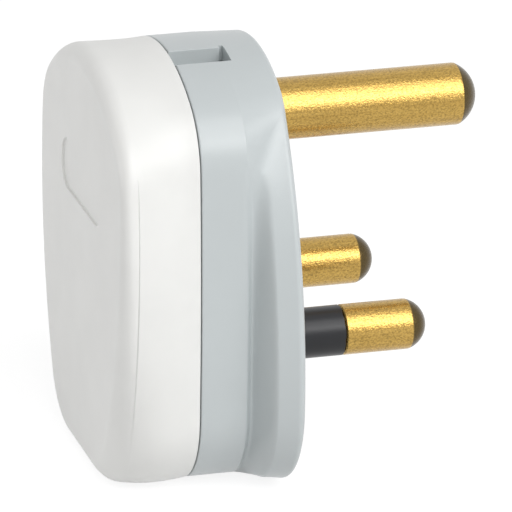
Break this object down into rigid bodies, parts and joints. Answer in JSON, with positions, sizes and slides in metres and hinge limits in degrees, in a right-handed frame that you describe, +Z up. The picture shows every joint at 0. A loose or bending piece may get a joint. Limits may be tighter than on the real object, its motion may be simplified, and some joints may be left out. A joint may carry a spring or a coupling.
{
  "type": "round pin mains plug",
  "caption": "Rewireable mains plug with round pins in a triangle, sleeved line and neutral pins, a flanged finger grip base and a screwed-on back cover.",
  "frame": {"origin": "on the pin face, midway between the line and neutral pins", "axes": "+Y out of the pin face along the pins, +Z up from the live pins to the earth pin, +X to the line pin"},
  "size_m": [0.0528, 0.0567, 0.0596],
  "materials": {
    "cover_plastic": "satin white moulding",
    "base_plastic": "glossy light blue grey moulding",
    "pin_brass": "turned, fine lengthwise grain",
    "sleeve_plastic": "satin black",
    "screw_steel": "bright plated",
    "inner_plastic": "matt moulding",
    "insert_brass": "turned",
    "washer_fibre": "red fibre"
  },
  "bodies": {
    "root": {"cover": "cover_plastic", "base": "base_plastic", "earth_pin": "pin_brass", "line_pin": "pin_brass", "neutral_pin": "pin_brass", "line_sleeve": "sleeve_plastic", "neutral_sleeve": "sleeve_plastic", "earth_terminal_screw": "screw_steel", "line_terminal_screw": "screw_steel", "neutral_terminal_screw": "screw_steel", "pin_retainer": "inner_plastic", "retainer_screw_left": "screw_steel", "retainer_screw_right": "screw_steel", "cord_grip_bar": "inner_plastic", "cord_grip_screw_left": "screw_steel", "cord_grip_screw_right": "screw_steel", "cord_grip_insert_left": "insert_brass", "cord_grip_insert_right": "insert_brass", "cover_screw": "screw_steel", "cover_screw_washer": "washer_fibre", "cover_insert": "insert_brass"}
  },
  "joints": []
}
